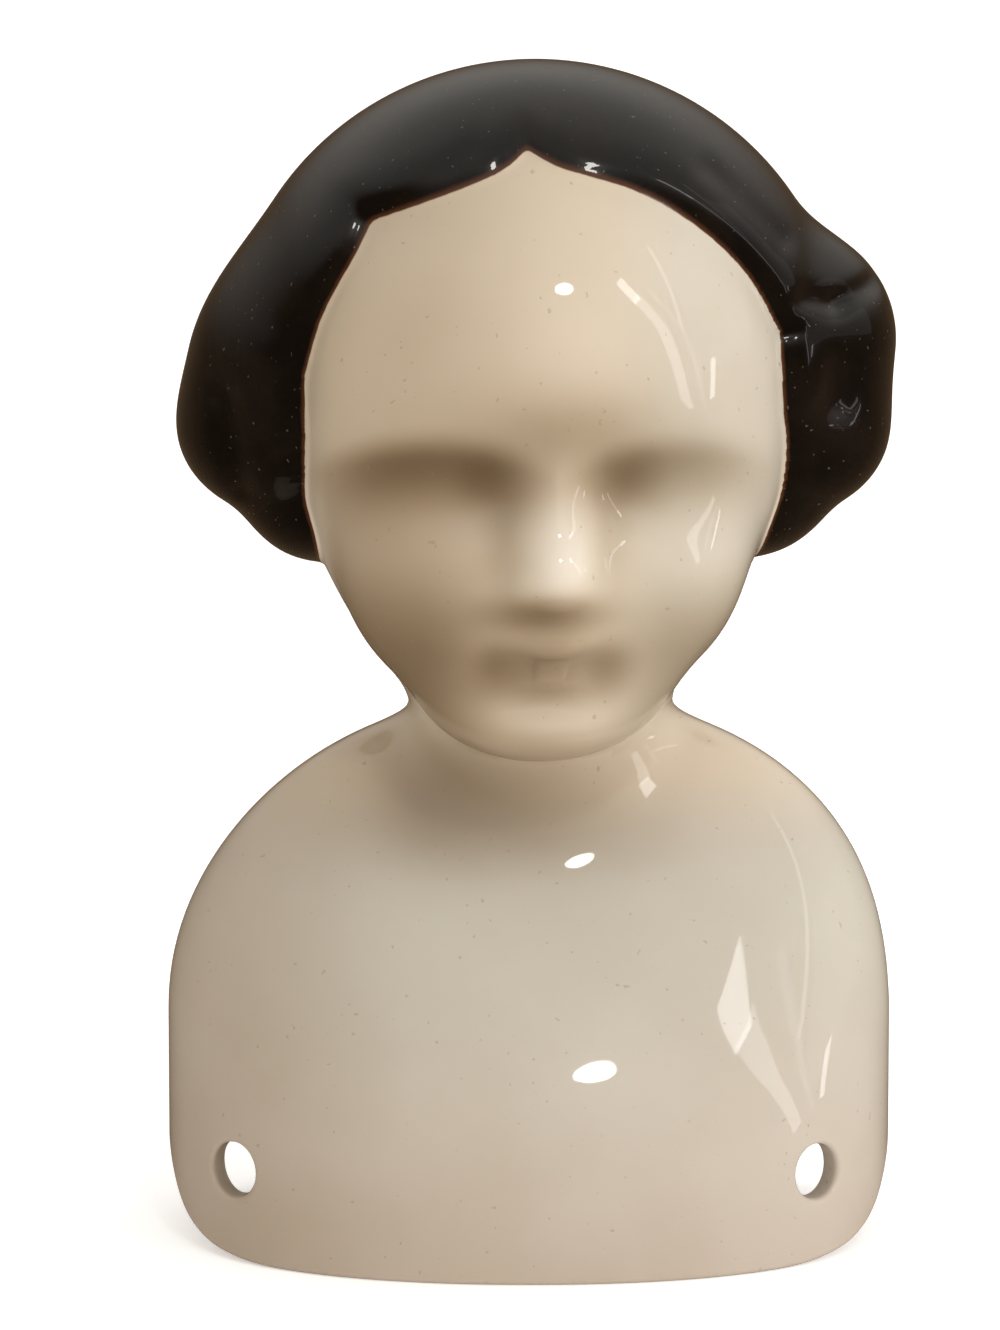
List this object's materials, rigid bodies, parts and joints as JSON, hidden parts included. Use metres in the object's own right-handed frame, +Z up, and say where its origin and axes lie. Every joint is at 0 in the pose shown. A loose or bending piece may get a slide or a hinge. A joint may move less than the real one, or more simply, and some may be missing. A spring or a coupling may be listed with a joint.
{
  "type": "doll shoulder head",
  "caption": "Hollow glazed porcelain doll's shoulder head: soft face, dark moulded hair parted in the middle, short neck and a breast plate with sewing holes.",
  "frame": {"origin": "on the ground, below the middle of the bounding box", "axes": "+Z up, from the rim of the breast plate to the crown; the face looks along -Y; +X is the figure's left"},
  "size_m": [0.067, 0.0563, 0.1076],
  "materials": {
    "glazed_porcelain": "glossy cream glaze, with black-brown glaze on the hair"
  },
  "bodies": {
    "root": {"shoulder_head": "glazed_porcelain"}
  },
  "joints": []
}
